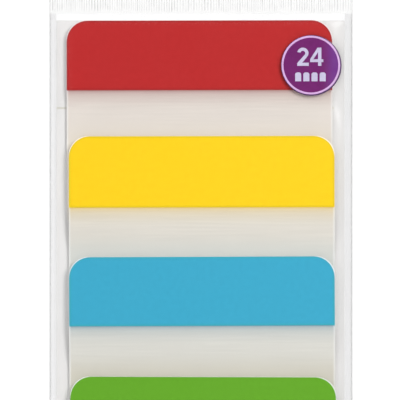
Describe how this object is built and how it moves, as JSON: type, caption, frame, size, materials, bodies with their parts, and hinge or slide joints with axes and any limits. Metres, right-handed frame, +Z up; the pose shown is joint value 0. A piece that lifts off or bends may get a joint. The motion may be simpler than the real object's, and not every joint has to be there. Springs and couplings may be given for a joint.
{
  "type": "pack of filing tabs",
  "caption": "Flat sealed clear film pack of self-adhesive filing tabs in overlapping red, yellow, blue and green pads on a backing card, with a round count label.",
  "frame": {"origin": "middle of the back of the pack, on the surface that it lies on", "axes": "+Z up, out of the front of the pack; +Y along the pack towards the red tabs; +X to the right as the pack is read"},
  "size_m": [0.0582, 0.1272, 0.0024],
  "materials": {
    "clear_film": "clear glossy film",
    "card": "smooth coated card",
    "red_tab": "satin film",
    "yellow_tab": "satin film",
    "blue_tab": "satin film",
    "green_tab": "satin film",
    "label": "glossy printed label"
  },
  "bodies": {
    "root": {"clear_wrapper": "clear_film", "backing_card": "card", "red_tab_1": "red_tab", "red_tab_2": "red_tab", "red_tab_3": "red_tab", "red_tab_4": "red_tab", "red_tab_5": "red_tab", "red_tab_6": "red_tab", "yellow_tab_1": "yellow_tab", "yellow_tab_2": "yellow_tab", "yellow_tab_3": "yellow_tab", "yellow_tab_4": "yellow_tab", "yellow_tab_5": "yellow_tab", "yellow_tab_6": "yellow_tab", "blue_tab_1": "blue_tab", "blue_tab_2": "blue_tab", "blue_tab_3": "blue_tab", "blue_tab_4": "blue_tab", "blue_tab_5": "blue_tab", "blue_tab_6": "blue_tab", "green_tab_1": "green_tab", "green_tab_2": "green_tab", "green_tab_3": "green_tab", "green_tab_4": "green_tab", "green_tab_5": "green_tab", "green_tab_6": "green_tab", "count_label": "label"}
  },
  "joints": []
}
